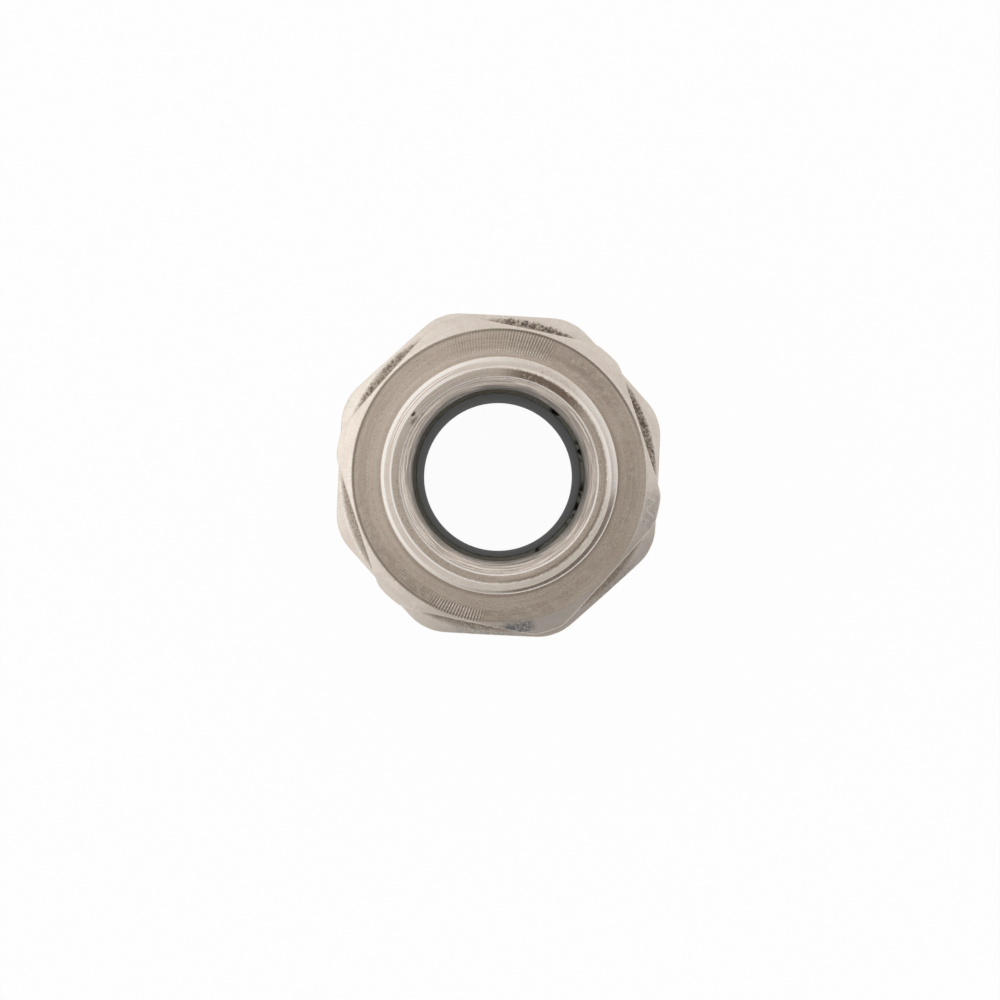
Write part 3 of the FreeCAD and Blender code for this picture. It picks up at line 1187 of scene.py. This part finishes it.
BODY_FEATURES = (
    Chatter((14.6, 17.2), (77.0, 9.0), 0.9),
    Chatter((14.4, 17.0), (100.0, 12.0), 0.4),
    Chatter((15.9, 17.2), (253.0, 9.0), 1.5),
    Chatter((15.6, 17.2), (238.0, 12.0), 0.2),
    # The end face and its outer edge: brown stains, a painted highlight on the face towards the light, and
    # painted highlights along the outer edge.
    Mark((10.98, 11.85), ON_END, (62.0, 20.0), BROWN, 0.95, soft=0.2, grain=3.4, share=0.95, ragged=0.5),
    Mark((10.95, 11.95), ON_END, (350.0, 50.0), BROWN, 0.3, soft=0.25, grain=4.5, share=0.7),
    # Painted highlight on the side of the end face towards the light.
    Mark((10.98, 11.85), ON_END, (135.0, 42.0), BRIGHT, 0.35, soft=0.2),
    Mark((10.95, 11.95), ON_END, (270.0, 40.0), BROWN, 0.22, soft=0.25, grain=4.5, share=0.6),
    # Painted highlight along the end face's outer edge, all round.
    Mark((11.8, 11.98), (END - 0.3, END + 0.2), ROUND, BRIGHT, 1.0, soft=0.06, grain=2.4, share=0.35),
    # Painted highlight on the edge's lit left side.
    Mark((11.86, 12.06), (END - 0.5, END + 0.2), (185.0, 75.0), BRIGHT, 1.2,
         soft=0.05, grain=2.8, share=1.4, matt=0.6),
    # The chamfer round the mouth: a faint brown tint, painted highlights on its lit left side and on the
    # crest beside the first groove, two painted highlight lines with painted shade between them where the
    # shallow first groove crosses it at the upper left, a brown patch and a bright stretch at 20 degrees.
    Mark((12.1, 12.7), CHAMFER, (170.0, 70.0), BROWN, 0.16, soft=0.25),
    # Painted highlight on the chamfer's lit left side.
    Mark((12.72, 13.12), (END - 2.8, END - 0.6), (165.0, 65.0), BRIGHT, 1.0, matt=0.35),
    # Painted highlight on the thread's crest beside the first groove's painted shadow.
    Mark((12.98, 13.25), (END - 3.1, END - 1.25), (311.0, 38.0), BRIGHT, 0.85, soft=0.1),
    # Two painted highlight lines along the edges of the shallow first groove, and painted shade in the
    # groove between them.
    Mark((12.15, 12.24), CHAMFER_TOP, (135.0, 24.0), BRIGHT, 0.8, soft=0.05),
    Mark((12.4, 12.48), CHAMFER_TOP, (140.0, 20.0), BRIGHT, 0.8, soft=0.05),
    Mark((12.25, 12.38), CHAMFER_TOP, (137.0, 24.0), BROWN, 0.45, soft=0.06),
    Mark((12.3, 12.9), CHAMFER_TOP, (55.0, 18.0), BROWN, 0.25, soft=0.3, grain=2.2, share=0.4),
    Mark((12.1, 13.15), CHAMFER, (20.0, 24.0), BRIGHT, 0.65, soft=0.3),
    # The hexagon's face: dark lines along its outer edge, brown stains, a painted light band across its
    # middle on the side towards the light, and a brown ring on the far side.
    Mark((16.92, 17.16), ON_HEXAGON, (175.0, 95.0), DARK, 0.5, soft=0.14),
    Mark((16.95, 17.2), ON_HEXAGON, (55.0, 34.0), DARK, 0.55),
    Mark((14.3, 16.9), ON_HEXAGON, (58.0, 22.0), BROWN, 0.34, soft=0.8, grain=1.4, share=0.7),
    Mark((15.7, 16.9), ON_HEXAGON, (245.0, 55.0), BROWN, 0.3, soft=0.5, grain=1.1, share=0.6),
    Mark((15.2, 16.2), ON_HEXAGON, (20.0, 70.0), BROWN, 0.22, soft=0.6, grain=1.1),
    # Painted light on the side of the face towards the light.
    Mark((14.2, 14.9), ON_HEXAGON, (150.0, 110.0), BRIGHT, 0.3, soft=0.7),
    Mark((13.9, 14.25), ON_HEXAGON, (300.0, 100.0), BROWN, 0.35, soft=0.3),
    # Smears on the hexagon's corner chamfers.
    Mark((17.2, 18.6), (HEXAGON_FACE - 1.2, HEXAGON_FACE), (277.5, 5.0), SLATE, 0.75,
         soft=0.4, grain=2.6, share=0.7, ragged=1.6),
    Mark((17.6, 19.3), HEXAGON_CORNER, (269.0, 9.0), SLATE, 0.45,
         soft=0.4, grain=3.0, share=0.6, ragged=1.2),
    Mark((17.9, 19.3), HEXAGON_CORNER, (316.0, 8.0), SLATE, 0.55,
         soft=0.4, grain=3.4, share=0.6, ragged=1.2),
    Mark((17.6, 19.1), HEXAGON_CORNER, (347.0, 6.0), SLATE, 0.35,
         soft=0.5, grain=2.0, share=0.6, ragged=1.0),
    # The bore's edge with painted highlights along it, the pit beside it with a painted glint, and the
    # stain below that.
    # Painted highlights along the bore's edge.
    Mark((10.7, 11.06), BORE_EDGE, (290.0, 105.0), BRIGHT, 0.95, soft=0.05, grain=1.6, share=1.2, matt=0.9),
    Mark((10.7, 11.01), BORE_EDGE, (110.0, 80.0), BRIGHT, 1.1, soft=0.04, grain=1.6, share=0.9, matt=0.8),
    Mark((11.48, 11.74), IN_END, (144.2, 1.2), PIT, 1.0, soft=0.1, grain=4.0, share=1.2, ragged=0.4),
    # Painted glint at the pit's edge.
    Mark((11.28, 11.42), IN_END, (145.6, 0.9), BRIGHT, 1.6, soft=0.06, matt=0.8),
    Mark((11.0, 11.42), IN_END, (147.0, 2.4), BROWN, 0.7, soft=0.2, grain=3.4, share=0.8, ragged=0.4),
    Mark((10.0, 10.9), (END - 12.0, END - 5.0), (148.0, 3.4), BROWN, 1.0,
         soft=0.8, grain=3.0, share=0.8, ragged=0.4),
    Mark((10.0, 10.9), (END - 13.5, END - 11.5), (150.0, 1.2), PIT, 1.6, soft=0.3),
    # Grime and painted shade in the thread's grooves.
    GrooveGrimeAndShade(MaleBody.crest, MaleBody.crest - MaleBody.mouth_chamfer, END, HEXAGON_FACE),
    # Brown streaks, dullness and painted shade in the bore.
    WornShadedBore(MaleBody.bore, END),
)
NUT_FEATURES = (
    # The nut's face and corner chamfers: painted shade and grime next to the hexagon, slate patches on two
    # corner chamfers, painted glints, painted light on the face's outer rim, and dark strokes.
    # Painted shade, with grime, on the face where it lies next to the hexagon.
    Mark((16.5, 18.9), ON_NUT, ROUND, DARK, 0.5, soft=0.7, grain=2.6, share=0.7, ragged=0.8),
    Mark((18.6, 20.6), NUT_CORNER, (317.0, 7.0), SLATE, 0.4, soft=0.3, grain=3.0, ragged=1.0),
    Mark((18.1, 20.2), NUT_CORNER, (264.0, 9.0), SLATE, 0.45, soft=0.3, grain=3.0, share=0.6, ragged=1.0),
    # Painted glints, broken up by grain: round the face's outer part, and on the corner chamfer at 262
    # degrees.
    Mark((18.1, 19.6), (NUT_FACE - 0.5, NUT_FACE + 0.1), ROUND, BRIGHT, 0.6,
         soft=0.3, grain=4.4, share=0.1, matt=0.5),
    Mark((18.2, 20.0), (NUT_FACE - 1.0, NUT_FACE + 0.1), (262.0, 9.0), BRIGHT, 0.7,
         soft=0.3, grain=5.0, share=0.3, matt=0.6),
    # Painted light on the face's outer rim, away from the hexagon's shade.
    Mark((18.95, 19.25), ON_NUT, ROUND, BRIGHT, 0.45, soft=0.25, grain=2.3, share=0.6),
    Mark((18.4, 19.2), ON_NUT, (76.0, 12.0), DARK, 0.9, soft=0.2, grain=2.6, ragged=0.9),
    Mark((18.4, 19.2), ON_NUT, (18.0, 14.0), DARK, 0.8, soft=0.2, grain=2.6, ragged=0.9),
    Mark((18.4, 19.2), ON_NUT, (140.0, 14.0), DARK, 0.7, soft=0.2, grain=2.6, share=0.4, ragged=0.9),
    # Painted glints on the face at the lower left.
    Mark((18.3, 19.4), (NUT_FACE - 0.3, NUT_FACE + 0.2), (195.0, 12.0), BRIGHT, 0.7,
         soft=0.25, grain=4.0, share=0.4),
)


def main() -> None:
    """Builds the union and the studio."""
    logging.basicConfig(level=logging.INFO, format="%(message)s")
    Studio().build()
    union = UnionThread()
    MaleBody(union).build(NickelPlate("nickel_body", (END, HEXAGON_FACE), BODY_FEATURES))
    UnionNut(union).build(NickelPlate("nickel_nut", (NUT_FACE,), NUT_FEATURES, seed=31.0))
    FlatGasket().build(GreyRubber("grey_rubber"))
    Tailpiece().build(DarkPlastic("dark_plastic"))


if __name__ == "__main__":
    main()
